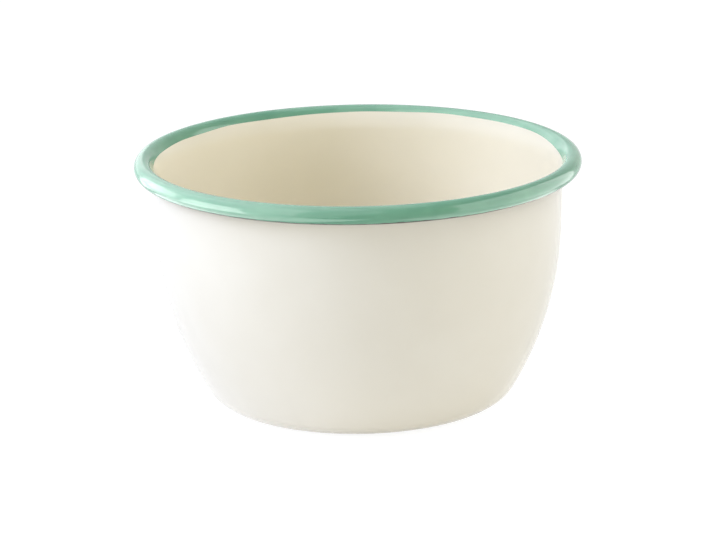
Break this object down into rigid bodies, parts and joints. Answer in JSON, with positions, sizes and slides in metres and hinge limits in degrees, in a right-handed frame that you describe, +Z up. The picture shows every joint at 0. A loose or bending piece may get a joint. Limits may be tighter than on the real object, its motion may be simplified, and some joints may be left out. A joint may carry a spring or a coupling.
{
  "type": "bowl",
  "caption": "Deep round enamelled steel bowl, cream inside and out, with an outward rolled green rim and a flat base, for holding, mixing and serving food.",
  "frame": {"origin": "centre of the flat base, on the surface the bowl stands on", "axes": "+Z up along the bowl's axis of turning; X and Y lie in the base plane and are alike, because the bowl is round"},
  "size_m": [0.16, 0.16, 0.0895],
  "materials": {
    "steel": "satin",
    "ground_enamel": "satin",
    "cream_enamel": "gloss",
    "green_enamel": "gloss"
  },
  "bodies": {
    "root": {"steel_shell": "steel", "ground_coat_inside": "ground_enamel", "ground_coat_outside": "ground_enamel", "inside_enamel": "cream_enamel", "outside_enamel": "cream_enamel", "rim_enamel": "green_enamel"}
  },
  "joints": []
}
